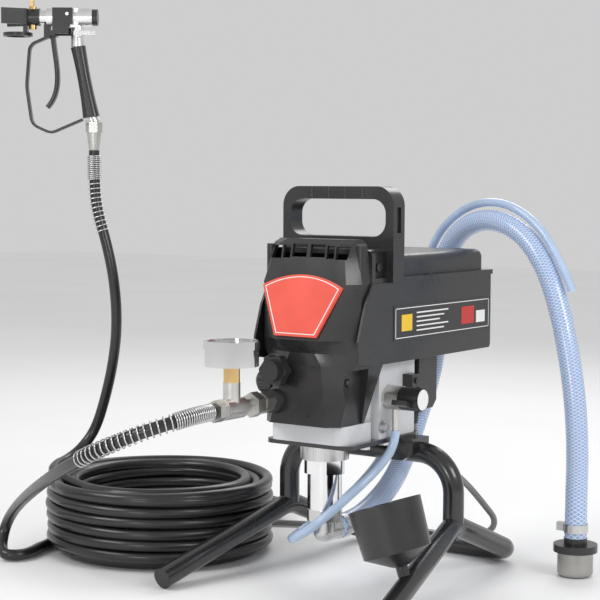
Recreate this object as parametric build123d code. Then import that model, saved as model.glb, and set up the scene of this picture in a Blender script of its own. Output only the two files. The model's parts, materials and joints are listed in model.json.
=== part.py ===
"""Airless paint sprayer on a tube stand: pump, electric drive, hose, spray gun, suction set.

Millimetres. +X is the machine's right, -Y its front, +Z up, and the floor is z = 0.
Pieces are modelled about the pump's axis, then moved so the origin is the middle of the
footprint of everything but the cords.
"""
import os
from math import cos, pi, radians, sin, tan

from build123d import *

# ---- driving sizes -----------------------------------------------------------------
# stand
STAND_OD = 22.0
STAND_BORE = 18.8
JUNCTION_X = 104.0
JUNCTION_Y = 65.0
JUNCTION_Z = 65.0
FOOT_X = 133.0
FOOT_Y = -120.0
REAR_X = 103.0
REAR_Y = 203.0
REAR_BEND = 30.0
ARCH_Z = 137.0
ARCH_BEND = 40.0
CAP_THICK = 2.0
# deck and drive
PUMP_Y = -20.0
PLATE_Z = 152.0
PLATE_THICK = 4.5
PLATE_HALF = 52.0
PLATE_FRONT = -54.0
PLATE_REAR = 83.0
CAST_HALF = 50.0
CAST_NOSE_HALF = 40.0
CAST_REAR = 80.0
SHELL_Z = 236.0
SHELL_TOP = 318.0
SHELL_HALF = 64.0
SHELL_FRONT = -30.0
SHELL_REAR = 222.0
SHELL_WALL = 3.0
LID_TOP = 346.0
LID_HALF = 57.0
LID_REAR = 213.0
LID_SCREW_X = 40.0
LID_SCREW_Y = (60.0, 190.0)
LID_SCREW_SINK = 2.0
WING_FRONT = -57.0
MOTOR_Z = 282.0
MOTOR_R = 33.0
MOTOR_FRONT = 82.0
MOTOR_LENGTH = 100.0
SHAFT_R = 5.0
PINION_TEETH = 12
GEAR_TEETH = 48
GEAR_MODULE = 1.17
CRANK_THROW = 6.0
# handle
HANDLE_HALF = 68.0
HANDLE_TOP = 415.0
HANDLE_DEPTH = 21.5
GRIP_HALF = 58.5
GRIP_LOW = 364.0
GRIP_HIGH = 402.0
# front cover
COVER_LOW = 176.0
COVER_TOP = 362.0
PANEL_THICK = 3.0
# pump
CYLINDER_R = 17.8
CYLINDER_BORE = 11.0
ROD_R = 8.0
COLLAR_R = 25.0
NUT_FLATS = 41.0
CYLINDER_LOW = 84.0
ELBOW_Z = 60.0
# outlet, gauge, valves
OUTLET_X = -30.0
OUTLET_Z = 198.0
TEE_Y = -139.0
GAUGE_R = 28.0
GAUGE_LOW = 240.0
GAUGE_TALL = 22.0
KNOB_X = -24.0
KNOB_Z = 230.0
VALVE_Y = 20.0
VALVE_Z = 199.0
# drip cup
CUP_R = 36.5
CUP_BASE_R = 34.0
CUP_DEEP = 48.0
CUP_CONE = 14.0
CUP_WALL = 2.2
CUP_LEAN = 19.0
# hoses
HOSE_D = 12.4
SUCTION_D = 24.0
SUCTION_BORE = 17.0
RETURN_D = 9.5
LEAD_D = 7.0
COIL_X = -258.0
COIL_Y = 26.0
COIL_R = 130.0
COIL_BORE = 92.0
COIL_TALL = 84.0
# spray gun: its own frame is turned about +Z and stands on the hose's swivel
GUN_TURN = 35.0
GUN_X = -361.0
GUN_Y = 30.0
GUN_Z = 469.0
# strainer
STRAINER_X = 187.0
STRAINER_Y = 184.0
STRAINER_R = 19.0
STRAINER_TALL = 27.0
# fits
GAP = 0.5          # between bodies that move past each other
SHAFT_FIT = 0.05   # a shaft in its bore, on the radius
BASE = (Align.CENTER, Align.CENTER, Align.MIN)
RIGHT = (1, 0, 0)
LEFT = (-1, 0, 0)
FRONT = (0, -1, 0)
REAR = (0, 1, 0)
UP = (0, 0, 1)
DOWN = (0, 0, -1)

PIECES = {}
CORD_NODES = []


def keep(name, shape, cord=False):
    PIECES[name] = Compound(list(shape)) if isinstance(shape, list) else shape
    if cord and name not in CORD_NODES:
        CORD_NODES.append(name)


# ---- small builders ----------------------------------------------------------------
def rod(at, axis, radius, length):
    return Plane(origin=at, z_dir=axis) * Cylinder(radius, length, align=BASE)


def cone(at, axis, low, high, length):
    return Plane(origin=at, z_dir=axis) * Cone(low, high, length, align=BASE)


def ring(at, axis, radius, bore, length):
    return rod(at, axis, radius, length) - rod(at, axis, bore, length)


def hexbar(at, axis, flats, length):
    face = RegularPolygon(flats / 2, 6, major_radius=False)
    return Plane(origin=at, z_dir=axis) * extrude(face, length)


def block(x, y, z):
    """A box from its two limits along each axis."""
    size = (x[1] - x[0], y[1] - y[0], z[1] - z[0])
    middle = ((x[0] + x[1]) / 2, (y[0] + y[1]) / 2, (z[0] + z[1]) / 2)
    return Pos(*middle) * Box(*size)


def both(shape):
    """The shape and its mirror across the machine's middle."""
    return shape + mirror(shape, about=Plane.YZ)


def pipe(points, bends, radius, bore=0.0):
    path = FilletPolyline(*points, radius=bends) if bends else Polyline(*points)
    start = Plane(origin=path @ 0, z_dir=path % 0)
    solid = sweep(start * Circle(radius), path=path)
    return solid - sweep(start * Circle(bore), path=path) if bore else solid


def bend_radii(points):
    """Arc radii for a cord's corners: 0.45 of the shorter run over tan of half the turn."""
    runs = [Vector(*b) - Vector(*a) for a, b in zip(points, points[1:])]
    radii = []
    for one, two in zip(runs, runs[1:]):
        half = radians(one.get_angle(two)) / 2
        radii.append(0.45 * min(one.length, two.length) / tan(half))
    return radii


def cord(name, points, diameter, bore=0.0):
    radii = bend_radii(points)
    tube = pipe(points, radii, diameter / 2, bore)
    print(name, "smallest bend radius", round(min(radii), 1), "mm for", diameter, "mm")
    keep(name, tube, cord=True)
    return tube


# ---- stand -------------------------------------------------------------------------
def stand():
    r = STAND_OD / 2
    floor_z = r + 0.15
    half = [(FOOT_X, FOOT_Y, floor_z), (JUNCTION_X, JUNCTION_Y, JUNCTION_Z), (REAR_X, REAR_Y, r)]
    other = [(-x, y, z) for x, y, z in reversed(half)]
    route = half + other
    bends = [40.0, REAR_BEND, REAR_BEND, 40.0]
    solid = pipe(route, bends, r)
    hollow = pipe(route, bends, STAND_BORE / 2)
    legs = [(JUNCTION_X, JUNCTION_Y, JUNCTION_Z), (JUNCTION_X, JUNCTION_Y, ARCH_Z)]
    arch_route = legs + [(-x, y, z) for x, y, z in reversed(legs)]
    arch = pipe(arch_route, [ARCH_BEND, ARCH_BEND], r)
    arch_hollow = pipe(arch_route, [ARCH_BEND, ARCH_BEND], STAND_BORE / 2)
    keep("stand_floor_tube", solid - hollow)
    keep("stand_arch", arch - arch_hollow - solid)
    run = Vector(*half[0]) - Vector(*half[1])
    axis = run.normalized()
    cap = rod(half[0], axis, r, CAP_THICK)
    plug_at = Vector(*half[0]) - axis * 12
    cap += rod(plug_at, axis, STAND_BORE / 2, 12)
    keep("foot_caps", both(cap))


def brackets():
    """Folded steel saddles between the arch and the deck plate."""
    r = STAND_OD / 2
    high = PLATE_Z
    low = ARCH_Z - r + 3
    saddle = block((34, 64), (JUNCTION_Y - 17, JUNCTION_Y + 17), (low, high))
    saddle -= rod((0, JUNCTION_Y, ARCH_Z), RIGHT, r, 80)
    wedge = Plane.XZ * Polygon((50, low - 1), (66, low - 1), (66, low + 9), align=None)
    saddle -= Pos(0, JUNCTION_Y + 20, 0) * extrude(wedge, 40, dir=FRONT)
    keep("arch_brackets", both(saddle))


# ---- deck, casting and drive ---------------------------------------------------------
def deck():
    top = PLATE_Z + PLATE_THICK
    plate = block((-PLATE_HALF, PLATE_HALF), (PLATE_FRONT, PLATE_REAR), (PLATE_Z, top))
    plate = fillet(plate.edges().filter_by(Axis.Z), 9)
    plate -= rod((0, PUMP_Y, PLATE_Z - 1), UP, 16, PLATE_THICK + 2)
    keep("base_plate", plate)
    bolts = None
    for x in (-40, 40):
        for y in (-6, 30):
            head = hexbar((x, y, PLATE_Z), DOWN, 10, 5)
            bolts = head if bolts is None else bolts + head
    side_bolt = ring((CAST_HALF, 10, 169), RIGHT, 6.5, 3, 1.5) + hexbar((CAST_HALF, 10, 169), RIGHT, 8, 6)
    keep("base_bolts", bolts + side_bolt)


def casting():
    low = PLATE_Z + PLATE_THICK
    high = SHELL_Z - 0.5
    foot = block((-46, 46), (-56, 4), (low, COVER_LOW - 0.4))
    foot = fillet(foot.edges().filter_by(Axis.Z), 12)
    nose = block((-CAST_NOSE_HALF, CAST_NOSE_HALF), (-40, 4), (low, high))
    main = block((-CAST_HALF, CAST_HALF), (4, CAST_REAR), (low, high))
    main = fillet(main.edges().filter_by(Axis.Z).sort_by(Axis.Y)[-2:], 8)
    body = foot + nose + main
    body -= block((-30, 30), (26, 74), (207, high + 1))
    body -= block((-20, 20), (-34, 2), (205, high + 1))
    wall = block((-34, 34), (CAST_REAR - 4, MOTOR_FRONT - 0.1), (low + 40, 300))
    wall -= rod((0, CAST_REAR - 10, MOTOR_Z), REAR, 12, 30)
    boss = block((-16, 16), (8, 22), (high, gear_z() + 14))
    body += wall + boss
    body -= rod((0, 0, gear_z()), REAR, 6 + SHAFT_FIT, 25)
    body -= rod((0, PUMP_Y, low - 1), UP, ROD_R + 4, 60)
    keep("drive_housing", body)
    keep("terminal_box", block((CAST_HALF, CAST_HALF + 12), (50, 66), (206, 220)))


def gear_z():
    distance = GEAR_MODULE * (PINION_TEETH + GEAR_TEETH) / 2 + 0.3
    return MOTOR_Z - distance


def drive():
    pinion_r = GEAR_MODULE * PINION_TEETH / 2
    gear_r = GEAR_MODULE * GEAR_TEETH / 2
    can = ring((0, MOTOR_FRONT, MOTOR_Z), REAR, MOTOR_R, MOTOR_R - 3, MOTOR_LENGTH)
    for y in (MOTOR_FRONT, MOTOR_FRONT + MOTOR_LENGTH - 4):
        can += ring((0, y, MOTOR_Z), REAR, MOTOR_R - 2.5, SHAFT_R + SHAFT_FIT, 4)
    keep("motor_can", can)
    rotor = rod((0, MOTOR_FRONT + 14, MOTOR_Z), REAR, 22, 70)
    rotor += rod((0, 32, MOTOR_Z), REAR, SHAFT_R, MOTOR_FRONT + MOTOR_LENGTH + 20 - 32)
    rotor += rod((0, 32, MOTOR_Z), REAR, pinion_r, 12)
    fan_y = MOTOR_FRONT + MOTOR_LENGTH + 5
    fan = rod((0, fan_y, MOTOR_Z), REAR, 12, 10) + rod((0, fan_y, MOTOR_Z), REAR, 29, 1.6)
    for n in range(10):
        blade = Pos(0, fan_y + 5, MOTOR_Z) * Rot(0, 36 * n, 0) * Pos(20, 0, 0) * Box(17, 9, 1.5)
        fan += blade
    keep("motor_rotor", rotor + fan)
    gear = rod((0, 32, gear_z()), REAR, gear_r, 12)
    crank = gear + rod((0, -4, gear_z()), REAR, 6, 48)
    crank += rod((0, -9, gear_z()), REAR, 13, 6)
    crank += rod((0, -28, gear_z() - CRANK_THROW), REAR, 4, 20)
    keep("drive_gear", crank)
    keep("piston_rod", rod((0, PUMP_Y, 100), UP, ROD_R, 122))


# ---- covers ------------------------------------------------------------------------
def outline(front, front_y, side, side_y, back, back_y):
    half = [(front, front_y), (side, side_y), (back, back_y)]
    return half + [(-x, y) for x, y in reversed(half)]


def lofted(levels):
    faces = []
    for z, sizes in levels:
        faces.append(Plane.XY.offset(z) * Polygon(*outline(*sizes), align=None))
    return loft(faces, ruled=True)


def front_cover():
    split = SHELL_Z - 0.4
    lower = lofted([(COVER_LOW, (34, -70, 45, -60, 46, -18)),
                    (split, (22, -61, 52, -45, 56, 2))])
    upper_levels = [(split, (22, -61, 52, -45, 60, SHELL_FRONT)),
                    (248, (15, -62, 57, -46, 61, SHELL_FRONT)),
                    (262, (27, -73.5, 59, -46, 61, SHELL_FRONT)),
                    (318, (50, -59, 59, -44, 61, SHELL_FRONT)),
                    (344, (44, -52.5, 54, -42, 58, SHELL_FRONT)),
                    (COVER_TOP - 4, (36, -49.5, 50, -40, 55, SHELL_FRONT)),
                    (COVER_TOP, (30, -45, 45, -36, 50, SHELL_FRONT))]
    upper = lofted(upper_levels)
    inner_levels = []
    for z, (front, front_y, side, side_y, back, back_y) in upper_levels[1:-1]:
        inner_levels.append((z, (front - 3, front_y + 4, side - 3, side_y + 4, back - 3, back_y + 1)))
    pillar = rod((55, -39, 320), UP, 4.5, 36) + Pos(55, -39, 320) * Sphere(4.5)
    solid = lower + upper + both(pillar)
    solid -= lofted(inner_levels)
    inside = CAST_NOSE_HALF + GAP
    solid -= block((-inside, inside), (-42, 4), (COVER_LOW - 1, 249))
    solid -= both(block((44, 70), (-54, -22), (COVER_LOW - 1, 232)))
    slots = ((2, 20), (22, 31), (33, 46))
    for low, high in slots:
        drop = low * 0.06
        solid -= both(block((low, high), (-70, -36), (344 - drop, 357 - drop)))
    solid -= rod((OUTLET_X, -38, OUTLET_Z), FRONT, 12, 50)
    solid -= rod((KNOB_X, -44, KNOB_Z), FRONT, 5, 40)
    solid -= rod((-45, -40, 214), LEFT, 13.4, 30)
    keep("front_cover", solid)


def panel_plane():
    """The face that leans over the front, seen square on: x right, y up the slope."""
    return Plane(origin=(0, -73.5, 262), x_dir=(1, 0, 0), z_dir=(0, -56, 14.5))


def red_panel():
    low, shoulder, crown = 3.0, 54.0, 66.0
    face = make_face([
        Line((-25, low), (25, low)),
        Line((25, low), (48, shoulder)),
        ThreePointArc((48, shoulder), (0, crown), (-48, shoulder)),
        Line((-48, shoulder), (-25, low)),
    ])
    panel = panel_plane() * Pos(0, 0, 0.3) * extrude(face, PANEL_THICK)
    keep("front_panel", panel)


def body_shell():
    w = SHELL_HALF
    shell = block((-w, w), (SHELL_FRONT, SHELL_REAR), (SHELL_Z, SHELL_TOP))
    shell = chamfer(shell.edges().filter_by(Axis.X).group_by(Axis.Z)[0].sort_by(Axis.Y)[-1], 9)
    shell = fillet(shell.edges().filter_by(Axis.Z).sort_by(Axis.Y)[-2:], 8)
    inner = w - SHELL_WALL
    floor = SHELL_Z + SHELL_WALL
    shell -= block((-inner, inner), (SHELL_FRONT - 1, SHELL_REAR - 4), (floor + 6, SHELL_TOP + 1))
    shell -= block((-inner, inner), (SHELL_FRONT - 1, SHELL_REAR - 16), (floor, SHELL_TOP + 1))
    shell -= block((-36, 36), (SHELL_FRONT - 1, MOTOR_FRONT + 3), (SHELL_Z - 1, SHELL_Z + 9))
    wing = Plane.YZ * Polygon((SHELL_FRONT, SHELL_Z), (WING_FRONT, SHELL_Z + 4), (WING_FRONT, 262),
                              (WING_FRONT + 11, 294), (WING_FRONT + 25, SHELL_TOP), (SHELL_FRONT, SHELL_TOP),
                              align=None)
    wing = Pos(w - 2.5, 0, 0) * extrude(wing, 2.5, dir=RIGHT)
    slots = None
    for n in range(9):
        slot = block((-14, 14), (SHELL_REAR - 6, SHELL_REAR + 1), (256 + 6 * n, 258.6 + 6 * n))
        slots = slot if slots is None else slots + slot
    shell = shell + both(wing) - slots
    keep("body_shell", shell)


def handle():
    front = SHELL_FRONT
    rear = 26.0
    deck_block = block((-62, 62), (front, rear), (SHELL_TOP, 352))
    deck_block = fillet(deck_block.edges().filter_by(Axis.Y).group_by(Axis.Z)[-1], 8)
    deck_block -= block((-56, 56), (front - 1, rear - 3), (SHELL_TOP - 1, 347))
    deck_block -= both(block((57.5, 70), (-24, -2), (323, 349)))
    hoop = block((-HANDLE_HALF, HANDLE_HALF), (0, HANDLE_DEPTH), (SHELL_TOP, HANDLE_TOP))
    hoop = fillet(hoop.edges().filter_by(Axis.Y).group_by(Axis.Z)[-1], 20)
    grip = block((-GRIP_HALF, GRIP_HALF), (-1, HANDLE_DEPTH + 1), (GRIP_LOW, GRIP_HIGH))
    grip = fillet(grip.edges().filter_by(Axis.Y), 15)
    hoop -= grip
    inner = block((-56, 56), (-1, HANDLE_DEPTH + 1), (SHELL_TOP - 1, 347))
    hoop -= inner
    for x in (-31, -10, 10, 31):
        hoop -= rod((x, -1.6, GRIP_HIGH - 3), UP, 2.2, 20)
    hoop -= block((HANDLE_HALF - 2.5, HANDLE_HALF + 1), (7, 14.5), (368, 394))
    keep("carry_handle", deck_block + hoop)


def lid():
    w = LID_HALF
    low = SHELL_TOP
    top = block((-w, w), (26, LID_REAR), (low, LID_TOP))
    top = fillet(top.edges().filter_by(Axis.Y).group_by(Axis.Z)[-1], 9)
    top = fillet(top.edges().filter_by(Axis.X).group_by(Axis.Z)[-1].sort_by(Axis.Y)[-1], 9)
    top += block((-SHELL_HALF, SHELL_HALF), (26, SHELL_REAR - 2), (low, low + 5))
    top -= block((-w + 3, w - 3), (29, LID_REAR - 3), (low - 1, LID_TOP - 4))
    for y in LID_SCREW_Y:
        top -= both(rod((LID_SCREW_X, y, LID_TOP - LID_SCREW_SINK), UP, 4.6, LID_SCREW_SINK + 1))
    keep("motor_lid", top)


def small_covers():
    label = block((SHELL_HALF, SHELL_HALF + 0.6), (8, 213), (257.5, 293.5))
    keep("side_label", label)
    shroud = block((-50, 50), (84, 121), (178, SHELL_Z))
    shroud = chamfer(shroud.edges().filter_by(Axis.X).group_by(Axis.Z)[0].sort_by(Axis.Y)[-1], 8)
    shroud -= block((-47, 47), (87, 118), (181, SHELL_Z + 1))
    window = block((-11, 11), (117, 122), (196, 212))
    bezel = block((-13.5, 13.5), (121, 123), (193.5, 214.5)) - block((-9, 9), (120, 124), (197.5, 210.5))
    keep("rear_shroud", shroud - window + bezel)
    screws = rod((CAST_HALF + 12, 58, 213), RIGHT, 3.2, 1.8)
    screws += both(rod((44, -46, 219), RIGHT, 4.2, 3)) + both(rod((57.5, -13, 334), RIGHT, 4.2, 2.5))
    for y in LID_SCREW_Y:
        screws += both(rod((LID_SCREW_X, y, LID_TOP - LID_SCREW_SINK), UP, 4.0, 1.6))
    screws += rod((-36, -67.3, 214), FRONT, 3.6, 4)
    keep("cover_screws", screws)


# ---- pump --------------------------------------------------------------------------
def pump():
    low = CYLINDER_LOW
    collar = ring((0, PUMP_Y, 136), UP, COLLAR_R, ROD_R + 4, PLATE_Z - 136)
    keep("pump_collar", collar)
    nut = hexbar((0, PUMP_Y, 121.5), UP, NUT_FLATS, 14.5) & rod((0, PUMP_Y, 121.5), UP, 22, 14.5)
    nut -= rod((0, PUMP_Y, 121.5), UP, ROD_R + 4, 14.5)
    keep("pump_nut", nut)
    tube = ring((0, PUMP_Y, low), UP, CYLINDER_R, CYLINDER_BORE, 121.5 - low)
    keep("pump_cylinder", tube)
    foot = hexbar((0, PUMP_Y, 72), UP, 35, 12) & rod((0, PUMP_Y, 72), UP, 19, 12)
    foot -= rod((0, PUMP_Y, 75), UP, 6, 10)
    foot -= rod((0, PUMP_Y, 71), UP, 4, 10)
    keep("inlet_valve_housing", foot)
    keep("inlet_ball", Pos(0, PUMP_Y, 81.2) * Sphere(5.2))
    elbow = rod((0, PUMP_Y, ELBOW_Z), UP, 11.5, 72 - ELBOW_Z)
    elbow += Pos(0, PUMP_Y, ELBOW_Z) * Sphere(11.5)
    elbow += rod((0, PUMP_Y, ELBOW_Z), REAR, 11.5, 16)
    elbow -= rod((0, PUMP_Y, ELBOW_Z), UP, 5, 20) + rod((0, PUMP_Y, ELBOW_Z), REAR, 5, 20)
    barb_y = PUMP_Y + 16
    elbow += ring((0, barb_y, ELBOW_Z), REAR, SUCTION_BORE / 2 - 0.1, 5, 24)
    elbow += ring((0, barb_y, ELBOW_Z), REAR, 11.8, 5, 4)
    keep("inlet_elbow", elbow)


# ---- outlet chain and gauge ----------------------------------------------------------
def outlet():
    x, z = OUTLET_X, OUTLET_Z

    def at(y):
        return (x, y, z)
    keep("outlet_boss", rod(at(-40), FRONT, 11.6, 34) - rod(at(-60), FRONT, 4, 20))
    tee_half = 15.0
    nuts = rod(at(-74), FRONT, 7.5, 50) + hexbar(at(-80), FRONT, 19, 11) + hexbar(at(-97), FRONT, 22, 12)
    nuts += hexbar(at(TEE_Y - tee_half), FRONT, 19, 14)
    keep("outlet_nuts", nuts - rod(at(-74), FRONT, 4, 130))
    tee = rod(at(TEE_Y + tee_half), FRONT, 10.5, 2 * tee_half)
    tee += rod((x, TEE_Y, z), UP, 8.5, 26)
    tee -= rod(at(TEE_Y + tee_half + 1), FRONT, 4, 2 * tee_half + 2)
    tee -= rod((x, TEE_Y, z), UP, 3, 30)
    keep("gauge_tee", tee)
    keep("gauge_adaptor", hexbar((x, TEE_Y, z + 26), UP, 15, GAUGE_LOW - z - 26))
    case = ring((x, TEE_Y, GAUGE_LOW), UP, GAUGE_R - 1.5, GAUGE_R - 4, GAUGE_TALL)
    case += rod((x, TEE_Y, GAUGE_LOW), UP, GAUGE_R - 1.5, 3)
    top = GAUGE_LOW + GAUGE_TALL
    rim = ring((x, TEE_Y, top - 5), UP, GAUGE_R, GAUGE_R - 1.5, 5)
    rim += ring((x, TEE_Y, top), UP, GAUGE_R, GAUGE_R - 4, 2.4)
    keep("gauge_case", case + rim)
    keep("gauge_dial", rod((x, TEE_Y, top - 8), UP, GAUGE_R - 4, 1.2))
    keep("gauge_glass", rod((x, TEE_Y, top), UP, GAUGE_R - 4, 1.6))
    hand = Pos(x, TEE_Y, top - 5.2) * Rot(0, 0, 235) * Pos(6, 0, 0) * Box(24, 1.6, 0.8)
    keep("gauge_needle", rod((x, TEE_Y, top - 6.2), UP, 2.4, 2.2) + hand)


def knob_and_filter():
    face = -86.0
    skirt = rod((KNOB_X, face + 16, KNOB_Z), FRONT, 14, 10)
    for n in range(6):
        lobe = (KNOB_X + 12 * cos(n * pi / 3), face + 16, KNOB_Z + 12 * sin(n * pi / 3))
        skirt += rod(lobe, FRONT, 4.6, 10)
    skirt += rod((KNOB_X, face + 6, KNOB_Z), FRONT, 11, 6)
    skirt += rod((KNOB_X, -46, KNOB_Z), FRONT, 5 - SHAFT_FIT, 30)
    keep("pressure_knob", skirt)
    cap = rod((-49.2, -40, 214), LEFT, 13, 14) + cone((-63.2, -40, 214), LEFT, 13, 9, 4)
    for n in range(12):
        cap -= rod((-54, -40 + 13.6 * cos(n * pi / 6), 214 + 13.6 * sin(n * pi / 6)), LEFT, 1.5, 20)
    keep("filter_cap", cap)


def drain_valve():
    def at(x):
        return (x, VALVE_Y, VALVE_Z)
    body = hexbar(at(CAST_HALF), RIGHT, 22, 4) + rod(at(CAST_HALF + 4), RIGHT, 12.5, 15)
    body += rod((60, VALVE_Y, VALVE_Z - 22), UP, 3.8, 14)
    body += cone((60, VALVE_Y, VALVE_Z - 34), UP, 3.1, 3.6, 12)
    body -= rod(at(60), RIGHT, 4, 20)
    body -= rod((60, VALVE_Y, VALVE_Z - 35), UP, 2, 28)
    keep("drain_valve_body", body)
    start = CAST_HALF + 19 + GAP
    knob = rod(at(start), RIGHT, 12, 22)
    knob += rod(at(60.5), RIGHT, 4 - SHAFT_FIT, 12)
    wing = Pos(start + 8, VALVE_Y - 14, VALVE_Z - 4) * Rot(-16, 0, 0) * Box(16, 20, 5)
    keep("drain_knob", knob + wing + rod(at(start + 22), RIGHT, 11.4, 0.8))


# ---- switch, gland, cup -------------------------------------------------------------
def switch_and_gland():
    rocker = rod((-8.5, 119.5, 204), RIGHT, 5.6, 17)
    keep("power_switch", rocker)
    gland = rod((34, 100, 178), DOWN, 7.5, 5) + cone((34, 100, 173), DOWN, 6, 4.4, 12)
    gland -= rod((34, 100, 180), DOWN, LEAD_D / 2, 24)
    keep("mains_gland", gland)


def rail_point(y):
    """The right floor tube's axis above a place between its foot and its junction."""
    share = (y - FOOT_Y) / (JUNCTION_Y - FOOT_Y)
    x = FOOT_X + (JUNCTION_X - FOOT_X) * share
    z = STAND_OD / 2 + (JUNCTION_Z - STAND_OD / 2) * share
    return (x, y, z)


def cup_frame():
    x, y, z = rail_point(-60)
    return Pos(x, y, z) * Rot(0, -CUP_LEAN, 0)


def drip_cup():
    neck = STAND_OD / 2 + 9
    base = neck + CUP_CONE
    top = base + CUP_DEEP
    section = Plane.XZ * Polygon((0, neck), (8, neck), (CUP_BASE_R, base), (CUP_R, top),
                                 (CUP_R - CUP_WALL, top),
                                 (CUP_BASE_R - CUP_WALL, base + 1), (6, neck + CUP_WALL + 1),
                                 (0, neck + CUP_WALL + 1), align=None)
    cup = revolve(section, Axis.Z)
    stud = Pos(0, 0, neck - 10) * Cylinder(6, 10, align=BASE)
    foot = (FOOT_X, FOOT_Y, STAND_OD / 2 + 0.15)
    tube = pipe([foot, (JUNCTION_X, JUNCTION_Y, JUNCTION_Z)], None, STAND_OD / 2 + 0.05)
    keep("drip_cup", cup_frame() * (cup + stud) - tube)


# ---- spray gun ------------------------------------------------------------------------
def gun_frame():
    return Pos(GUN_X, GUN_Y, GUN_Z) * Rot(0, 0, GUN_TURN)


def gun_part(name, shape):
    keep(name, gun_frame() * shape)


def gun():
    lean = Vector(-15, 0, 84)
    grip = loft([Plane((-3, 0, 25), z_dir=lean) * RectangleRounded(19, 22, 7),
                 Plane((-9, 0, 58), z_dir=lean) * RectangleRounded(15, 20, 6),
                 Plane((-18, 0, 106), z_dir=lean) * RectangleRounded(17, 20, 7)])
    gun_part("gun_grip", grip)
    swivel = cone((0, 0, -13), UP, HOSE_D / 2, 8.4, 20) + hexbar((0, 0, 7), UP, 17, 12)
    swivel += rod((0, 0, 18), Vector(-3, 0, 6), 8, 7)
    gun_part("gun_swivel", swivel - grip)
    neck = rod((-19, 0, 106.2), UP, 7.4, 24) - grip
    barrel = rod((-1, 0, 140), LEFT, 10.5, 53)
    head = block((-40, -17), (-9, 9), (128, 150))
    body = barrel + neck + head
    for low, high in ((-20, -7.2), (7.2, 20)):
        body -= block((-35, -24), (low, high), (100, 170))
    body += rod((-29, -14.5, 143), REAR, 2.0, 29) + rod((-54, 0, 140), LEFT, 8, 8)
    gun_part("gun_body", body)
    gun_part("gun_rear_cap", rod((-1, 0, 140), RIGHT, 9.5, 6))
    arms = None
    for y in (-12.6, 12.6):
        plate = Pos(0, y, 0) * block((-46, -23), (-1.5, 1.5), (131, 150))
        plate += Pos(0, y, 0) * block((-46, -27.5), (-1.5, 1.5), (120, 131))
        arms = plate if arms is None else arms + plate
    arms -= rod((-29, -20, 143), REAR, 2.0 + SHAFT_FIT, 40)
    blade_path = Spline((-47, 0, 122), (-43, 0, 85), (-47, 0, 46), (-54, 0, 36))
    start = Plane(blade_path @ 0, x_dir=(0, 1, 0), z_dir=blade_path % 0)
    blade = sweep(start * RectangleRounded(14, 5, 2), path=blade_path)
    bridge = block((-49, -43), (-14.1, 14.1), (118, 124))
    gun_part("gun_trigger", arms + blade + bridge)
    guard_path = FilletPolyline((-53.5, 0, 117), (-74, 0, 108), (-78, 0, 60), (-72, 0, 16),
                                (-50, 0, 6), (-13, 0, 22), radius=[12, 60, 14, 14])
    start = Plane(guard_path @ 0, x_dir=(0, 1, 0), z_dir=guard_path % 0)
    guard = sweep(start * RectangleRounded(12, 3, 1.2), path=guard_path)
    guard += block((-57, -50), (-6, 6), (115.5, 131.5))
    gun_part("gun_trigger_guard", guard - barrel - grip)
    saddle = rod((-62, 0, 140), LEFT, 10, 17) - rod((-70.5, 0, 120), UP, 4.6 + SHAFT_FIT, 50)
    wings = None
    for side in (-1, 1):
        fin = Plane.XY * Polygon((-79, 9 * side), (-79, 14 * side), (-103, 24 * side),
                                 (-104, 19 * side), align=None)
        part = Pos(0, 0, 131) * extrude(fin, 18, dir=UP)
        wings = part if wings is None else wings + part
    loop = ring((-88, 0, 122), DOWN, 17, 13.5, 4) & block((-110, -60), (-20, 20), (100, 140))
    saddle -= rod((-62, 0, 140), LEFT, 4, 20)
    saddle += block((-79, -75.6), (-14, 14), (131, 149)) - rod((-62, 0, 140), LEFT, 6, 20)
    gun_part("gun_tip_guard", saddle + wings + loop + block((-81, -76.5), (-6, 6), (118, 132)))
    tip = rod((-70.5, 0, 126), UP, 4.6, 26) + block((-72.5, -68.5), (-9, 1), (152, 162))
    gun_part("gun_spray_tip", tip)
    lever = rod((-17, -7.8, 121), FRONT, 3, 6.2) + rod((-17, -11, 121), FRONT, 4.6, 3)
    lever += block((-17, 4), (-14, -11), (118.5, 123.5))
    gun_part("gun_lock_lever", lever)


# ---- cords ------------------------------------------------------------------------
def hose_routes():
    """Places chosen by hand from the outlet down to the coil on the floor."""
    start_y = TEE_Y - 15 - 14
    return [(OUTLET_X, start_y, OUTLET_Z), (-30, -192, 198), (-45, -218, 191), (-74, -238, 179),
            (-114, -248, 161), (-172, -228, 136), (-240, -188, 107), (-308, -142, 78), (-358, -110, 52),
            (-377, -104, 30), (-366, -120, 13), (-352, -130, 7), (-338, -118, 6.6), (-340, -98, 6.6),
            (-348, -80, 6.6)]


def pressure_hose():
    lead = cord("pressure_hose", hose_routes(), HOSE_D)
    middle = Pos((COIL_R + COIL_BORE) / 2, COIL_TALL / 2 + 0.2)
    ring_face = Plane.XZ * middle * RectangleRounded(COIL_R - COIL_BORE, COIL_TALL, 6)
    coil = Pos(COIL_X, COIL_Y, 0) * revolve(ring_face, Axis.Z)
    keep("pressure_hose_coil", coil, cord=True)
    riser = [(-381, 0, 91), (-382, 26, 100), (-374, 44, 122), (-360, 46, 160), (-345, 44, 205),
             (-335, 40, 250), (-335, 36, 300), (-344, 33, 345), (-358, 30, 388), (-361, 30, 424),
             (-361, 30, GUN_Z - 13)]
    keep("pressure_hose", Compound([lead, cord("pressure_hose", riser, HOSE_D)]))


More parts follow.
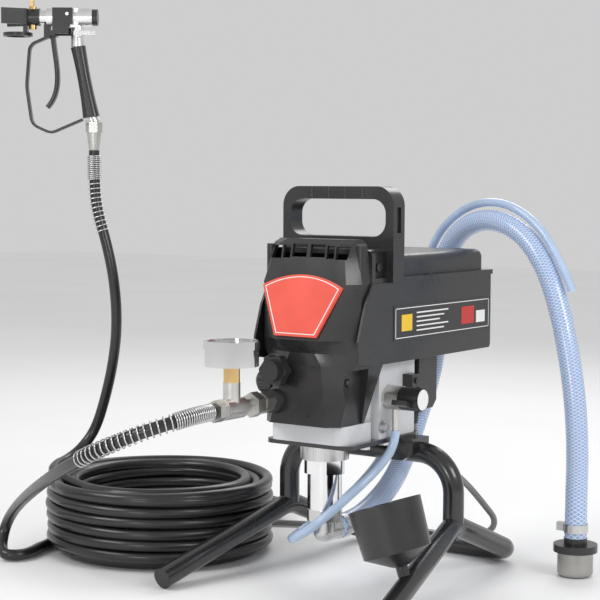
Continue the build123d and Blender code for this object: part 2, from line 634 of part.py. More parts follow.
def suction():
    end = STRAINER_TALL + 14
    barb_end = PUMP_Y + 20
    route = [(0, barb_end, ELBOW_Z), (0, 34, ELBOW_Z), (2, 72, 72), (2, 112, 92), (-4, 150, 120),
             (-12, 188, 156), (-16, 222, 196), (-18, 240, 240), (-17, 242, 292), (-8, 240, 340),
             (20, 236, 372), (62, 226, 380), (106, 214, 364), (138, 204, 328), (158, 198, 282),
             (172, 194, 232), (182, 190, 180), (187, 186, 128), (STRAINER_X, STRAINER_Y, 80),
             (STRAINER_X, STRAINER_Y, end)]
    cord("suction_hose", route, SUCTION_D, SUCTION_BORE / 2)


def return_tube():
    route = [(60, VALVE_Y, VALVE_Z - 34), (60, VALVE_Y, 150), (50, 6, 128), (38, -22, 106),
             (22, -46, 84), (0, -56, 64), (-24, -48, 52), (-34, -22, 52), (-30, 8, 62), (-18, 38, 78),
             (-17, 74, 92), (-16, 112, 112), (-22, 150, 140), (-30, 186, 176), (-36, 216, 214),
             (-38, 236, 256), (-36, 240, 304), (-26, 240, 352), (8, 240, 388), (56, 230, 401),
             (104, 218, 388), (146, 206, 352), (172, 198, 304)]
    cord("return_tube", route, RETURN_D, 3.2)


def mains():
    lead = [(34, 100, 161), (34, 100, 144), (52, 118, 122), (76, 140, 96), (88, 168, 64),
            (80, 204, 44), (58, 238, 22), (24, 256, 8), (-24, 256, 3.6), (-76, 246, 3.6),
            (-130, 232, 3.6), (-182, 216, 3.6), (-226, 196, 3.6)]
    lead = cord("mains_lead", lead, LEAD_D)
    face = Plane.XZ * Pos(38, 11.6) * RectangleRounded(16, 22.4, 3)
    keep("mains_lead_coil", Pos(-272, 212, 0) * revolve(face, Axis.Z), cord=True)
    tail = [(-323, 225, 10), (-328, 244.5, 10), (-342, 262, 10)]
    keep("mains_lead", Compound([lead, cord("mains_lead", tail, LEAD_D)]))
    d = Vector(-14, 17.5, 0).normalized()
    at = Vector(-342, 262, 10)
    body = rod(at, (d.X, d.Y, 0), 8.6, 22)
    pins = None
    side = Vector(-d.Y, d.X, 0).normalized()
    flat = Vector(d.X, d.Y, 0).normalized()
    for s in (-1, 1):
        p = at + flat * 22 + side * (4.5 * s)
        pin = rod(p, flat, 2, 17)
        pins = pin if pins is None else pins + pin
    keep("mains_plug", body + pins, cord=True)


def strainer():
    base = rod((STRAINER_X, STRAINER_Y, 0.3), UP, STRAINER_R, STRAINER_TALL - 1)
    base = fillet(base.edges().group_by(Axis.Z)[0], 4)
    top = STRAINER_TALL
    keep("strainer_mesh", base, cord=True)
    flange = ring((STRAINER_X, STRAINER_Y, top - 0.7), UP, 23.5, 6, 8)
    flange += ring((STRAINER_X, STRAINER_Y, top + 7.3), UP, SUCTION_BORE / 2, 6, 30)
    flange += ring((STRAINER_X, STRAINER_Y, top + 7.3), UP, 12.5, 6, 6.7)
    keep("strainer_cap", flange, cord=True)
    clamp = ring((STRAINER_X, STRAINER_Y, top + 20), UP, SUCTION_D / 2 + 1.2, SUCTION_D / 2, 9)
    clamp += block((STRAINER_X - SUCTION_D / 2 - 9, STRAINER_X - SUCTION_D / 2 - 1),
                   (STRAINER_Y - 3.5, STRAINER_Y + 3.5), (top + 20, top + 29))
    pump_clamp = ring((0, PUMP_Y + 26, ELBOW_Z), REAR, SUCTION_D / 2 + 1.2, SUCTION_D / 2, 9)
    keep("hose_clamps", Compound([clamp, pump_clamp]), cord=True)


def export_all():
    body = [shape for name, shape in PIECES.items() if name not in CORD_NODES]
    boxes = [shape.bounding_box() for shape in body]
    mid_x = (min(b.min.X for b in boxes) + max(b.max.X for b in boxes)) / 2
    mid_y = (min(b.min.Y for b in boxes) + max(b.max.Y for b in boxes)) / 2
    low_z = min(b.min.Z for b in boxes)
    print("pump axis in the row frame", round(-mid_x, 3), round(PUMP_Y - mid_y, 3), "floor", round(low_z, 3))
    os.makedirs("parts", exist_ok=True)
    for name, shape in PIECES.items():
        export_step(Pos(-mid_x, -mid_y, -low_z) * shape, "parts/" + name + ".step")


stand()
brackets()
deck()
casting()
drive()
front_cover()
red_panel()
body_shell()
handle()
lid()
small_covers()
pump()
outlet()
knob_and_filter()
drain_valve()
switch_and_gland()
drip_cup()
gun()
pressure_hose()
suction()
return_tube()
mains()
strainer()
export_all()
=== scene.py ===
"""Looks for the airless paint sprayer: materials, hoses, spring guards, label and studio."""
import json
from math import cos, pi, radians, sin

import bpy
from mathutils import Euler, Matrix, Vector


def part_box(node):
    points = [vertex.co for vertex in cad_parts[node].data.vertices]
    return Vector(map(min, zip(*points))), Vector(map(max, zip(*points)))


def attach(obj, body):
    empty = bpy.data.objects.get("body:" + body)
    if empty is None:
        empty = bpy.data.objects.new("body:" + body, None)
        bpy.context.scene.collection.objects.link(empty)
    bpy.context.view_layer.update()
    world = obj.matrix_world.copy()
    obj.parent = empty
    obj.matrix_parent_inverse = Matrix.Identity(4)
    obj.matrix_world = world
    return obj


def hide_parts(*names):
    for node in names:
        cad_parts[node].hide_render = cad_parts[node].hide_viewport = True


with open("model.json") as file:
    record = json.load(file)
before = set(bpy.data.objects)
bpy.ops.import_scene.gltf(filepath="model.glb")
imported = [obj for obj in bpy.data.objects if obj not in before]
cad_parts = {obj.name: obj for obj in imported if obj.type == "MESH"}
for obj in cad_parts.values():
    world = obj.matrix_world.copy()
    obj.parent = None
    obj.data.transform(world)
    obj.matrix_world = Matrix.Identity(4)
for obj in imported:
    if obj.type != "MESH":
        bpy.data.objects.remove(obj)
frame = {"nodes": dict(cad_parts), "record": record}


def write_size():
    """Brings the scene's placements up to date."""
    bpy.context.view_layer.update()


write_size()

# ---- the machine's own frame: pump axis at x = 0, y = -20 mm -------------------------
MM = 0.001
PUMP_Y = -20.0
_low, _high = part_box("pump_cylinder")
ORIGIN = Vector(((_low.x + _high.x) / 2, (_low.y + _high.y) / 2 - PUMP_Y * MM, 0.0))


def at(x, y, z):
    """A place in the machine's millimetres as a point in the row frame."""
    return ORIGIN + Vector((x, y, z)) * MM


# ---- camera -------------------------------------------------------------------------
CAMERA_AT = (907.6, -1372.1, 414.9)
CAMERA_TURN = 34.8
CAMERA_PITCH = 4.08
CAMERA_ROLL = 0.28
CAMERA_LENS = 95.85


def make_camera():
    data = bpy.data.cameras.new("camera")
    data.lens = CAMERA_LENS
    data.sensor_width = 36.0
    data.clip_end = 20.0
    cam = bpy.data.objects.new("camera", data)
    bpy.context.scene.collection.objects.link(cam)
    turn = Euler((radians(90 - CAMERA_PITCH), 0, radians(CAMERA_TURN))).to_matrix()
    turn = turn @ Matrix.Rotation(radians(CAMERA_ROLL), 3, "Z")
    cam.matrix_world = Matrix.Translation(at(*CAMERA_AT)) @ turn.to_4x4()
    bpy.context.scene.camera = cam


make_camera()


# ---- materials ------------------------------------------------------------------------
class Surface:
    """A node material built up from a principled shader."""

    def __init__(self, name):
        self.material = bpy.data.materials.new(name)
        self.material.use_nodes = True
        self.tree = self.material.node_tree
        self.shader = self.tree.nodes["Principled BSDF"]
        self.coords = self.add("ShaderNodeTexCoord").outputs["Object"]

    def add(self, kind, **values):
        node = self.tree.nodes.new(kind)
        for key, value in values.items():
            setattr(node, key, value)
        return node

    def link(self, out, into):
        self.tree.links.new(out, into)

    def noise(self, scale, detail=3.0, coords=None):
        node = self.add("ShaderNodeTexNoise")
        node.inputs["Scale"].default_value = scale
        node.inputs["Detail"].default_value = detail
        self.link(coords or self.coords, node.inputs["Vector"])
        return node.outputs["Fac"]

    def stretched(self, scale):
        node = self.add("ShaderNodeMapping")
        node.inputs["Scale"].default_value = scale
        self.link(self.coords, node.inputs["Vector"])
        return node.outputs["Vector"]

    def ramp(self, value, low, high, start=0.35, end=0.65):
        node = self.add("ShaderNodeValToRGB")
        node.color_ramp.elements[0].position = start
        node.color_ramp.elements[1].position = end
        node.color_ramp.elements[0].color = (*low, 1)
        node.color_ramp.elements[1].color = (*high, 1)
        self.link(value, node.inputs["Fac"])
        return node.outputs["Color"]

    def between(self, value, low, high, start=0.3, end=0.7):
        node = self.add("ShaderNodeMapRange")
        for key, number in (("From Min", start), ("From Max", end), ("To Min", low), ("To Max", high)):
            node.inputs[key].default_value = number
        self.link(value, node.inputs["Value"])
        return node.outputs["Result"]

    def bump(self, height, strength, distance):
        node = self.add("ShaderNodeBump")
        node.inputs["Strength"].default_value = strength
        node.inputs["Distance"].default_value = distance
        self.link(height, node.inputs["Height"])
        self.link(node.outputs["Normal"], self.shader.inputs["Normal"])

    def set(self, **values):
        for key, value in values.items():
            self.shader.inputs[key.replace("_", " ")].default_value = value


def shade(color, factor):
    return tuple(min(1.0, c * factor) for c in color)


def plain(name, color, rough, metal=0.0, grain=900.0, bump=0.0, coat=0.0, spread=0.12, stretch=None):
    """A surface with uneven colour and roughness, and a fine grain."""
    s = Surface(name)
    s.set(Metallic=metal, Coat_Weight=coat, Coat_Roughness=0.12)
    vector = s.stretched(stretch) if stretch else None
    broad = s.noise(34.0, 4.0, vector)
    fine = s.noise(grain, 2.0, vector)
    s.link(s.ramp(broad, shade(color, 1 - spread), shade(color, 1 + spread)), s.shader.inputs["Base Color"])
    s.link(s.between(broad, rough * 0.82, rough * 1.2), s.shader.inputs["Roughness"])
    if bump:
        s.bump(fine, bump, 0.0003)
    return s.material


def braided(name, base, thread, turns, rough):
    """A clear hose with a crossed thread, drawn on the hose's own length and girth."""
    s = Surface(name)
    uv = s.add("ShaderNodeTexCoord").outputs["UV"]
    split = s.add("ShaderNodeSeparateXYZ")
    s.link(uv, split.inputs["Vector"])
    lines = []
    for sign in (1.0, -1.0):
        along = s.add("ShaderNodeMath", operation="MULTIPLY")
        along.inputs[1].default_value = turns
        s.link(split.outputs["X"], along.inputs[0])
        around = s.add("ShaderNodeMath", operation="MULTIPLY")
        around.inputs[1].default_value = 10.0 * sign
        s.link(split.outputs["Y"], around.inputs[0])
        total = s.add("ShaderNodeMath", operation="ADD")
        s.link(along.outputs[0], total.inputs[0])
        s.link(around.outputs[0], total.inputs[1])
        saw = s.add("ShaderNodeMath", operation="FRACT")
        s.link(total.outputs[0], saw.inputs[0])
        band = s.add("ShaderNodeMath", operation="LESS_THAN")
        band.inputs[1].default_value = 0.2
        s.link(saw.outputs[0], band.inputs[0])
        lines.append(band.outputs[0])
    either = s.add("ShaderNodeMath", operation="MAXIMUM")
    s.link(lines[0], either.inputs[0])
    s.link(lines[1], either.inputs[1])
    s.link(s.ramp(either.outputs[0], base, thread, 0.1, 0.9), s.shader.inputs["Base Color"])
    s.link(s.between(s.noise(60.0), rough * 0.8, rough * 1.3), s.shader.inputs["Roughness"])
    s.set(Coat_Weight=0.4, Coat_Roughness=0.08, Subsurface_Weight=0.25, Subsurface_Scale=0.01)
    s.bump(either.outputs[0], 0.25, 0.0003)
    return s.material


LOOKS = {
    "black_plastic": plain("black moulded plastic", (0.022, 0.022, 0.023), 0.30, bump=0.06, coat=0.15),
    "black_paint": plain("black gloss enamel", (0.016, 0.016, 0.017), 0.24, bump=0.03, coat=0.5, grain=300.0),
    "black_rubber": plain("black rubber", (0.03, 0.03, 0.031), 0.55, bump=0.12),
    "steel": plain("brushed steel", (0.60, 0.60, 0.60), 0.26, metal=1.0, bump=0.05, stretch=(40, 40, 1)),
    "chrome": plain("polished chrome", (0.78, 0.78, 0.79), 0.10, metal=1.0, spread=0.04),
    "zinc": plain("blasted zinc", (0.62, 0.61, 0.58), 0.34, metal=1.0, bump=0.25, grain=1400.0),
    "aluminium": plain("satin aluminium", (0.76, 0.76, 0.77), 0.28, metal=1.0, bump=0.06),
    "brass": plain("machined brass", (0.72, 0.50, 0.22), 0.24, metal=1.0, bump=0.05),
    "red_plastic": plain("red moulded plastic", (0.80, 0.095, 0.06), 0.34, coat=0.1, spread=0.05, bump=0.04),
    "label_film": plain("printed film", (0.028, 0.028, 0.030), 0.36, spread=0.08),
    "grey_casting": plain("silver painted casting", (0.62, 0.63, 0.65), 0.42, bump=0.10, grain=600.0,
                          spread=0.06),
    "dial_white": plain("dial face", (0.86, 0.86, 0.84), 0.5, spread=0.03),
    "needle_black": plain("needle paint", (0.02, 0.02, 0.02), 0.5),
    "black_hose": plain("black hose cover", (0.014, 0.014, 0.015), 0.33, bump=0.05, coat=0.2),
    "grey_lead": plain("grey lead sheath", (0.22, 0.22, 0.22), 0.5, bump=0.05),
    "mesh": plain("woven wire", (0.42, 0.41, 0.39), 0.4, metal=0.9, bump=0.5, grain=700.0),
    "braided_clear": braided("braided clear hose", (0.30, 0.42, 0.68), (0.66, 0.74, 0.86), 260.0, 0.22),
    "clear_tube": plain("clear tube", (0.42, 0.53, 0.72), 0.18, coat=0.5, spread=0.10),
}


def glass(name):
    s = Surface(name)
    s.link(s.between(s.noise(120.0), 0.02, 0.06), s.shader.inputs["Roughness"])
    s.set(Transmission_Weight=1.0, IOR=1.3, Alpha=0.35)
    return s.material


LOOKS["clear_cover"] = glass("clear cover")
WHITE = plain("white print", (0.85, 0.85, 0.84), 0.4, spread=0.02)
YELLOW = plain("yellow print", (0.85, 0.55, 0.03), 0.4, spread=0.03)
RED = plain("red print", (0.55, 0.03, 0.025), 0.4, spread=0.04)

for entry in frame["record"]["subparts"]:
    node = frame["nodes"][entry["node"]]
    node.data.materials.clear()
    node.data.materials.append(LOOKS[entry["material_slot"]])


# ---- building pieces --------------------------------------------------------------------
def place(obj, body="machine"):
    if obj.name not in bpy.context.scene.collection.all_objects:
        bpy.context.scene.collection.objects.link(obj)
    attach(obj, body)
    return obj


def mesh_piece(name, verts, faces, material, body="machine", smooth=False):
    mesh = bpy.data.meshes.new(name)
    mesh.from_pydata([tuple(v) for v in verts], [], faces)
    mesh.materials.append(material)
    mesh.validate()
    for polygon in mesh.polygons:
        polygon.use_smooth = smooth
    mesh.update()
    return place(bpy.data.objects.new(name, mesh), body)


def nurbs(name, points, radius, material, closed_ends=True):
    """One smooth line through the given places, as a round cord."""
    data = bpy.data.curves.new(name, "CURVE")
    data.dimensions = "3D"
    spline = data.splines.new("NURBS")
    spline.points.add(len(points) - 1)
    for point, place_at in zip(spline.points, points):
        point.co = (*place_at, 1.0)
    spline.order_u = 3
    spline.use_endpoint_u = True
    spline.resolution_u = 8
    data.bevel_depth = radius
    data.bevel_resolution = 6
    data.use_fill_caps = closed_ends
    data.materials.append(material)
    return bpy.data.objects.new(name, data)


def centreline(points):
    """The places along the spline of a cord, read from its own curve."""
    bare = nurbs("bare line", points, 0.0, LOOKS["black_hose"], False)
    bpy.context.scene.collection.objects.link(bare)
    bpy.context.view_layer.update()
    graph = bpy.context.evaluated_depsgraph_get()
    mesh = bpy.data.meshes.new_from_object(bare.evaluated_get(graph))
    line = [v.co.copy() for v in mesh.vertices]
    bpy.data.objects.remove(bare)
    bpy.data.meshes.remove(mesh)
    return line


def length_of(line):
    return sum((b - a).length for a, b in zip(line, line[1:]))


# ---- cords ------------------------------------------------------------------------------
HOSE_D = 12.4
LEAD_ROUTE = [(-30, -168, 198), (-30, -192, 198), (-45, -218, 191), (-74, -238, 179),
              (-114, -248, 161), (-172, -228, 136), (-240, -188, 107), (-308, -142, 78), (-358, -110, 52),
              (-377, -104, 30), (-366, -120, 13), (-352, -130, 7), (-338, -118, 6.6), (-340, -98, 6.6),
              (-348, -80, 6.6)]
RISER_ROUTE = [(-381, 0, 91), (-382, 26, 100), (-374, 44, 122), (-360, 46, 160), (-345, 44, 205),
               (-335, 40, 250), (-335, 36, 300), (-344, 33, 345), (-358, 30, 388), (-361, 30, 424),
               (-361, 30, 456)]
COIL_X, COIL_Y = -258.0, 26.0
COIL_OUTER = 123.2
COIL_START = 222.0      # degrees, where the lead comes in
COLUMN_STEP = 12.6
LAYER_STEP = 12.1
LAYERS = 7
COLUMNS = 3
STEPS = 16
POLYGON_DRAW_IN = 0.982     # the spline runs this much inside its control points
COIL_FLOOR = 6.6
COIL_EXIT = [(COIL_X - 96, COIL_Y - 78, 88), (COIL_X - 112, COIL_Y - 52, 92)]


def coil_points():
    """Turns laid in columns, up, down and up again, each a little uneven as a hand leaves it."""
    points = []
    start = radians(COIL_START)
    total = COLUMNS * LAYERS * STEPS
    per_column = LAYERS * STEPS
    for n in range(total):
        column = min(n // per_column, COLUMNS - 1)
        along = (n - column * per_column) / STEPS
        height = min(along, LAYERS - 1)
        if column % 2:
            height = LAYERS - 1 - height
        angle = start - 2 * pi * n / STEPS
        radius = (COIL_OUTER - COLUMN_STEP * column) / POLYGON_DRAW_IN
        radius += 0.7 * sin(2.3 * angle + column) + 0.5 * sin(0.71 * n)
        z = COIL_FLOOR + LAYER_STEP * height + 0.5 * (1 + sin(1.37 * n)) * (height > 0.5)
        points.append((COIL_X + radius * cos(angle), COIL_Y + radius * sin(angle), z))
    return points


def pressure_hose():
    route = [at(*p) for p in LEAD_ROUTE + coil_points() + COIL_EXIT + RISER_ROUTE]
    hose = nurbs("hose_line", route, HOSE_D / 2 * MM, LOOKS["black_hose"])
    place(hose)
    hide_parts("pressure_hose", "pressure_hose_coil")
    line = centreline(route)
    print("pressure hose length", round(length_of(line), 3))
    round(length_of(line), 2)
    return line


SUCTION_D = 24.0
SUCTION_ROUTE = [(0, 0, 60), (0, 34, 60), (2, 72, 72), (2, 112, 92), (-4, 150, 120), (-12, 188, 156),
                 (-16, 222, 196), (-18, 240, 240), (-17, 242, 292), (-8, 240, 340), (20, 236, 372),
                 (62, 226, 380), (106, 214, 364), (138, 204, 328), (158, 198, 282), (172, 194, 232),
                 (182, 190, 180), (187, 186, 128), (187, 184, 80), (187, 184, 41)]


def suction_hose():
    route = [at(*p) for p in SUCTION_ROUTE]
    hose = nurbs("suction_line", route, SUCTION_D / 2 * MM, LOOKS["braided_clear"])
    place(hose)
    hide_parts("suction_hose")
    line = centreline(route)
    print("suction hose length", round(length_of(line), 3))
    round(length_of(line), 2)


RETURN_D = 9.5
RETURN_ROUTE = [(60, 20, 165), (60, 20, 150), (50, 6, 128), (38, -22, 106), (22, -46, 84), (0, -56, 64),
                (-24, -48, 52), (-34, -22, 52), (-30, 8, 62), (-18, 38, 78), (-17, 74, 92), (-16, 112, 112),
                (-22, 150, 140), (-30, 186, 176), (-36, 216, 214), (-38, 236, 256), (-36, 240, 304),
                (-26, 240, 352), (8, 240, 388), (56, 230, 401), (104, 218, 388), (146, 206, 352),
                (172, 198, 304)]


def return_tube():
    route = [at(*p) for p in RETURN_ROUTE]
    tube = nurbs("return_line", route, RETURN_D / 2 * MM, LOOKS["clear_tube"])
    place(tube)
    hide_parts("return_tube")
    line = centreline(route)
    print("return tube length", round(length_of(line), 3))
    round(length_of(line), 2)


LEAD_D = 7.0
MAINS_ROUTE = [(34, 100, 161), (34, 100, 144), (52, 118, 122), (76, 140, 96), (88, 168, 64), (80, 204, 44),
               (58, 238, 22), (24, 256, 8), (-24, 256, 3.6), (-76, 246, 3.6), (-130, 232, 3.6),
               (-182, 216, 3.6), (-226, 196, 3.6)]
MAINS_TAIL = [(-323, 225, 10), (-328, 244.5, 10), (-342, 262, 10)]
REEL_X, REEL_Y = -272.0, 212.0
REEL_OUTER = 42.4
REEL_STEP = 7.4
REEL_LAYER = 7.2
REEL_TOP_LAYER = 2.2
REEL_FLOOR = 4.0
REEL_START = -40.0
REEL_TURNS = 5.35
REEL_STEPS = 14
REEL_DRAW_IN = 0.975        # the spline runs this much inside its control points
REEL_EXIT = [(REEL_X - 46, REEL_Y - 2, 21), (REEL_X - 50, REEL_Y + 6, 14)]


def reel_points():
    """An outer column of three turns laid upwards, then an inner one laid down."""
    points = []
    for n in range(int(REEL_STEPS * REEL_TURNS)):
        angle = radians(REEL_START) - 2 * pi * n / REEL_STEPS
        column = 0 if n < REEL_STEPS * 3 else 1
        level = n / REEL_STEPS if column == 0 else 5 - n / REEL_STEPS
        radius = (REEL_OUTER - REEL_STEP * column) / REEL_DRAW_IN
        height = REEL_FLOOR + REEL_LAYER * max(0.0, min(level, REEL_TOP_LAYER))
        points.append((REEL_X + radius * cos(angle), REEL_Y + radius * sin(angle), height))
    return points


def mains_lead():
    route = [at(*p) for p in MAINS_ROUTE + reel_points() + REEL_EXIT + MAINS_TAIL]
    lead = nurbs("mains_line", route, LEAD_D / 2 * MM, LOOKS["grey_lead"])
    place(lead)
    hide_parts("mains_lead", "mains_lead_coil")
    line = centreline(route)
    print("mains lead length", round(length_of(line), 3))
    round(length_of(line), 2)


hose_line = pressure_hose()
suction_hose()
return_tube()
mains_lead()


# ---- spring guards at the hose ends ------------------------------------------------------
RING_SIDES = 40
WIRE_SIDES = 8


def spring_tree():
    """Rings of wire set along a line, each tipped a little, as one turn of a spring."""
    tree = bpy.data.node_groups.new("spring guard", "GeometryNodeTree")
    face = tree.interface
    face.new_socket("Line", in_out="INPUT", socket_type="NodeSocketGeometry")
    sockets = {}
    for label, kind in (("Ring Radius", "NodeSocketFloat"), ("Wire Radius", "NodeSocketFloat"),
                        ("Pitch", "NodeSocketFloat"), ("Tilt", "NodeSocketFloat"),
                        ("Finish", "NodeSocketMaterial")):
        sockets[label] = face.new_socket(label, in_out="INPUT", socket_type=kind).identifier
    face.new_socket("Spring", in_out="OUTPUT", socket_type="NodeSocketGeometry")
    add, link = tree.nodes.new, tree.links.new
    given, result = add("NodeGroupInput"), add("NodeGroupOutput")
    spots = add("GeometryNodeCurveToPoints")
    spots.mode = "LENGTH"
    link(given.outputs["Line"], spots.inputs["Curve"])
    link(given.outputs["Pitch"], spots.inputs["Length"])
    turn, wire = add("GeometryNodeCurvePrimitiveCircle"), add("GeometryNodeCurvePrimitiveCircle")
    turn.inputs["Resolution"].default_value = RING_SIDES
    wire.inputs["Resolution"].default_value = WIRE_SIDES
    link(given.outputs["Ring Radius"], turn.inputs["Radius"])
    link(given.outputs["Wire Radius"], wire.inputs["Radius"])
    bent = add("GeometryNodeCurveToMesh")
    link(turn.outputs["Curve"], bent.inputs["Curve"])
    link(wire.outputs["Curve"], bent.inputs["Profile Curve"])
    set_out = add("GeometryNodeInstanceOnPoints")
    link(spots.outputs["Points"], set_out.inputs["Points"])
    link(bent.outputs["Mesh"], set_out.inputs["Instance"])
    link(spots.outputs["Rotation"], set_out.inputs["Rotation"])
    lean = add("GeometryNodeRotateInstances")
    tilt = add("ShaderNodeCombineXYZ")
    link(given.outputs["Tilt"], tilt.inputs["X"])
    link(set_out.outputs["Instances"], lean.inputs["Instances"])
    link(tilt.outputs["Vector"], lean.inputs["Rotation"])
    real, finish = add("GeometryNodeRealizeInstances"), add("GeometryNodeSetMaterial")
    link(lean.outputs["Instances"], real.inputs["Geometry"])
    link(real.outputs["Geometry"], finish.inputs["Geometry"])
    link(given.outputs["Finish"], finish.inputs["Material"])
    link(finish.outputs["Geometry"], result.inputs["Spring"])
    return tree, sockets


def stretch_of(line, start, length):
    """The part of a line of points that lies between two distances from its first point."""
    out, gone = [], 0.0
    for one, two in zip(line, line[1:]):
        if start <= gone <= start + length:
            out.append(one)
        gone += (two - one).length
    return out


SPRING_TREE, SPRING_SOCKETS = spring_tree()
SPRING_RADIUS = 7.7 * MM
SPRING_WIRE = 0.85 * MM
SPRING_TILT = 0.06


def spring_guard(name, line, start, length, pitch, body="machine"):
    data = bpy.data.curves.new(name, "CURVE")
    data.dimensions = "3D"
    points = stretch_of(line, start * MM, length * MM)
    spline = data.splines.new("POLY")
    spline.points.add(len(points) - 1)
    for point, spot in zip(spline.points, points):
        point.co = (*spot, 1.0)
    source = bpy.data.objects.new(name + " line", data)
    bpy.context.scene.collection.objects.link(source)
    modifier = source.modifiers.new("spring", "NODES")
    modifier.node_group = SPRING_TREE
    for label, value in (("Ring Radius", SPRING_RADIUS), ("Wire Radius", SPRING_WIRE),
                         ("Pitch", pitch * MM), ("Tilt", SPRING_TILT), ("Finish", LOOKS["steel"])):
        modifier[SPRING_SOCKETS[label]] = value
    bpy.context.view_layer.update()
    graph = bpy.context.evaluated_depsgraph_get()
    mesh = bpy.data.meshes.new_from_object(source.evaluated_get(graph))
    bpy.data.objects.remove(source)
    for polygon in mesh.polygons:
        polygon.use_smooth = True
    return place(bpy.data.objects.new(name, mesh), body)


SPRING_START = 2.0
TIGHT_PITCH = 2.2
OUTLET_TIGHT, OUTLET_OPEN, OUTLET_PITCH = 46.0, 112.0, 6.2
GUN_TIGHT, GUN_OPEN, GUN_PITCH = 36.0, 60.0, 5.4


def spring_guards():
    """A close-wound and an open length of spring at each end of the pressure hose."""
    spring_guard("outlet_spring_tight", hose_line, SPRING_START, OUTLET_TIGHT, TIGHT_PITCH)
    spring_guard("outlet_spring_open", hose_line, SPRING_START + OUTLET_TIGHT, OUTLET_OPEN, OUTLET_PITCH)
    from_gun = list(reversed(hose_line))
    spring_guard("gun_spring_tight", from_gun, SPRING_START, GUN_TIGHT, TIGHT_PITCH)
    spring_guard("gun_spring_open", from_gun, SPRING_START + GUN_TIGHT, GUN_OPEN, GUN_PITCH)


spring_guards()


# ---- prints and small marks ----------------------------------------------------------------
BLOCK_FACES = ((3, 2, 1, 0), (4, 5, 6, 7), (0, 1, 5, 4), (1, 2, 6, 5), (2, 3, 7, 6), (3, 0, 4, 7))


def slabs(name, boxes, material, body="machine"):
    """Thin blocks, each given by its two limits along x, y and z in the machine's millimetres."""
    verts, faces = [], []
    for (x0, x1), (y0, y1), (z0, z1) in boxes:
        base = len(verts)
        verts += [at(x, y, z) for z in (z0, z1) for x, y in ((x0, y0), (x1, y0), (x1, y1), (x0, y1))]
        for quad in BLOCK_FACES:
            faces.append(tuple(base + q for q in quad))
    return mesh_piece(name, verts, faces, material, body)


LABEL_X = (64.4, 64.8)
LABEL_LOW, LABEL_HIGH = 260.0, 291.0
LABEL_FRONT, LABEL_REAR = 11.0, 210.0
BORDER_LINE = 0.8
BAR_COUNT = 5
BAR_STEP = 4.6
BAR_TALL = 1.4
BAR_START = 42.0
BAR_LENGTH = 66.0
BAR_SHORTER = 9.0
MARGIN = 6.0
YELLOW_SPAN = (12.0, 33.0)
RED_SPAN = (62.0, 34.0)
WHITE_SPAN = (29.0, 9.0)


def label_print():
    """A plain border, a field split and blank marks; nothing on the film can be read."""
    line = BORDER_LINE
    low, high, front, rear = LABEL_LOW, LABEL_HIGH, LABEL_FRONT, LABEL_REAR
    border = [(LABEL_X, (front, rear), (low, low + line)), (LABEL_X, (front, rear), (high - line, high)),
              (LABEL_X, (front, front + line), (low, high)), (LABEL_X, (rear - line, rear), (low, high))]
    slabs("label_border", border, WHITE)
    bars = []
    for n in range(BAR_COUNT):
        z = high - MARGIN - 1 - BAR_STEP * n
        end = front + BAR_START + BAR_LENGTH - BAR_SHORTER * (n % 3)
        bars.append((LABEL_X, (front + BAR_START, end), (z, z + BAR_TALL)))
    slabs("label_bars", bars, WHITE)
    tall = (low + MARGIN + 1, high - MARGIN - 1)
    yellow = (LABEL_X, (front + YELLOW_SPAN[0], front + YELLOW_SPAN[1]), tall)
    slabs("label_yellow_field", [yellow], YELLOW)
    red = (LABEL_X, (rear - RED_SPAN[0], rear - RED_SPAN[1]), (low + MARGIN, high - MARGIN))
    slabs("label_red_field", [red], RED)
    white = (LABEL_X, (rear - WHITE_SPAN[0], rear - WHITE_SPAN[1]), (low + MARGIN, high - 2 * MARGIN))
    slabs("label_white_field", [white], WHITE)


label_print()

PANEL_UP = Vector((0.0, 0.2507, 0.9681))
PANEL_OUT = Vector((0.0, -0.9681, 0.2507))


PANEL_FOOT = Vector((0.0, -73.5, 262.0))


def panel_at(across, up, out):
    """A place on the leaning front panel: across, up its slope, and out from its foot's plane."""
    spot = PANEL_FOOT + Vector((across, 0.0, 0.0)) + PANEL_UP * up + PANEL_OUT * out
    return at(*spot)


PANEL_LOW, PANEL_SHOULDER, PANEL_CROWN = 3.0, 54.0, 66.0
PANEL_WIDE, PANEL_NARROW = 48.0, 25.0
PANEL_MIDDLE = 36.0
BORDER_OUTER, BORDER_INNER = 0.93, 0.905
BORDER_TOP, BORDER_FOOT = 3.55, 3.2


def panel_outline(shrink, steps=24):
    """The panel's outline, drawn in towards its middle: straight sides and an arched top."""
    low, shoulder, crown = PANEL_LOW, PANEL_SHOULDER, PANEL_CROWN
    wide, narrow = PANEL_WIDE, PANEL_NARROW
    rise = crown - shoulder
    radius = (wide * wide + rise * rise) / (2 * rise)
    points = [(-narrow, low), (narrow, low), (wide, shoulder)]
    for n in range(1, steps):
        x = wide - 2 * wide * n / steps
        points.append((x, crown - radius + (radius * radius - x * x) ** 0.5))
    points.append((-wide, shoulder))
    return [(x * shrink, PANEL_MIDDLE + (y - PANEL_MIDDLE) * shrink) for x, y in points]


def panel_border():
    outer, inner = panel_outline(BORDER_OUTER), panel_outline(BORDER_INNER)
    count = len(outer)
    verts = [panel_at(x, y, BORDER_TOP) for x, y in outer + inner]
    verts += [panel_at(x, y, BORDER_FOOT) for x, y in outer + inner]
    faces = []
    for n in range(count):
        m = (n + 1) % count
        faces.append((n, m, m + count, n + count))
        faces.append((n + 2 * count, n + 3 * count, m + 3 * count, m + 2 * count))
        faces.append((n, n + 2 * count, m + 2 * count, m))
        faces.append((n + count, m + count, m + 3 * count, n + 3 * count))
    mesh_piece("panel_border", verts, faces, WHITE, "machine")


panel_border()

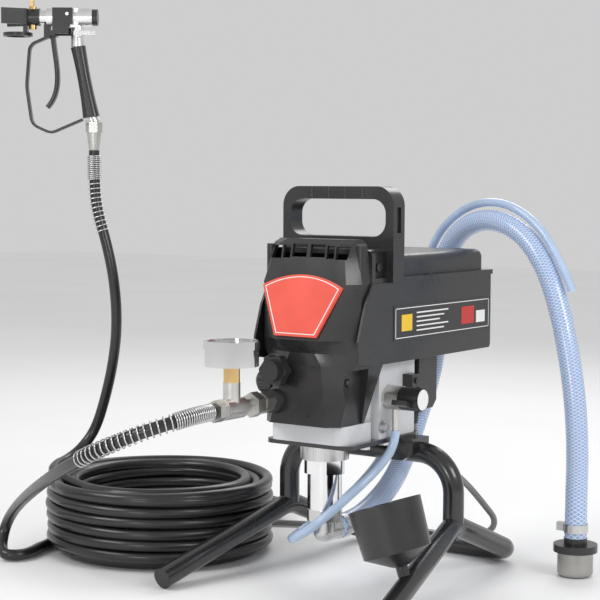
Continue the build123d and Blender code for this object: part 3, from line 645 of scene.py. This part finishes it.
DIAL_X, DIAL_Y, DIAL_Z = -30.0, -139.0, 255.2
TICKS = 41
TICK_FIRST = 235.0
TICK_STEP = 6.75
TICK_OUTER = 22.0


def dial_marks():
    """Plain ticks round the dial, long at every fifth, and no figures."""
    verts, faces = [], []
    for n in range(TICKS):
        angle = radians(TICK_FIRST - TICK_STEP * n)
        inner, half = (17.0, 0.45) if n % 5 == 0 else (19.0, 0.22)
        along, side = Vector((cos(angle), sin(angle), 0)), Vector((-sin(angle), cos(angle), 0))
        middle, base = Vector((DIAL_X, DIAL_Y, DIAL_Z)), len(verts)
        for lift in (-0.1, 0.15):
            for r, t in ((inner, -half), (TICK_OUTER, -half), (TICK_OUTER, half), (inner, half)):
                verts.append(at(*(middle + along * r + side * t + Vector((0, 0, lift)))))
        for quad in BLOCK_FACES:
            faces.append(tuple(base + q for q in quad))
    mesh_piece("dial_ticks", verts, faces, LOOKS["needle_black"], "machine")


dial_marks()


def disc_piece(name, centre, radius, thick, material, body):
    """A thin round facing whose axis is the machine's x."""
    steps, verts = 40, []
    for x in (centre[0], centre[0] + thick):
        for n in range(steps):
            a = 2 * pi * n / steps
            verts.append(at(x, centre[1] + radius * cos(a), centre[2] + radius * sin(a)))
    faces = [tuple(range(steps, 2 * steps)), tuple(reversed(range(steps)))]
    for n in range(steps):
        m = (n + 1) % steps
        faces.append((n, m, m + steps, n + steps))
    return mesh_piece(name, verts, faces, material, body)


KNOB_FACE_AT = (92.2, 20, 199)
KNOB_FACE_R = 10.6
KNOB_FACE_THICK = 0.4
disc_piece("drain_knob_face", KNOB_FACE_AT, KNOB_FACE_R, KNOB_FACE_THICK, WHITE,
           "drain_knob")


# ---- studio -----------------------------------------------------------------------------
FLOOR_HALF = 6.0
FLOOR_DROP = 0.0006
WORLD_LIGHT = 0.62


def studio():
    """A plain pale floor, an even white sky and four soft lamps."""
    floor_mesh = bpy.data.meshes.new("floor")
    r = FLOOR_HALF
    floor_mesh.from_pydata([(-r, -r, 0), (r, -r, 0), (r, r, 0), (-r, r, 0)], [], [(0, 1, 2, 3)])
    s = Surface("studio floor")
    s.link(s.ramp(s.noise(2.0), (0.93, 0.93, 0.935), (0.96, 0.96, 0.96)), s.shader.inputs["Base Color"])
    s.set(Roughness=0.6)
    floor_mesh.materials.append(s.material)
    floor = bpy.data.objects.new("floor", floor_mesh)
    bpy.context.scene.collection.objects.link(floor)
    floor.location.z = -FLOOR_DROP
    world = bpy.data.worlds.new("studio")
    world.use_nodes = True
    world.node_tree.nodes["Background"].inputs["Color"].default_value = (1, 1, 1, 1)
    world.node_tree.nodes["Background"].inputs["Strength"].default_value = WORLD_LIGHT
    bpy.context.scene.world = world
    bpy.context.scene.view_settings.view_transform = "Standard"
    lamps = (("key", (-900, -1500, 1700), 1.1, 17.0), ("side", (1700, -300, 1200), 0.9, 12.0),
             ("back", (-500, 1500, 1500), 1.2, 10.0), ("strip", (300, -1700, 500), 0.4, 3.0))
    for name, spot, size, power in lamps:
        data = bpy.data.lights.new(name, "AREA")
        data.shape = "RECTANGLE"
        data.size = size
        data.size_y = size * 0.7
        data.energy = power
        lamp = bpy.data.objects.new(name, data)
        bpy.context.scene.collection.objects.link(lamp)
        lamp.location = at(*spot)
        aim = at(0, 0, 200) - lamp.location
        lamp.rotation_euler = aim.to_track_quat("-Z", "Y").to_euler()


studio()
write_size()
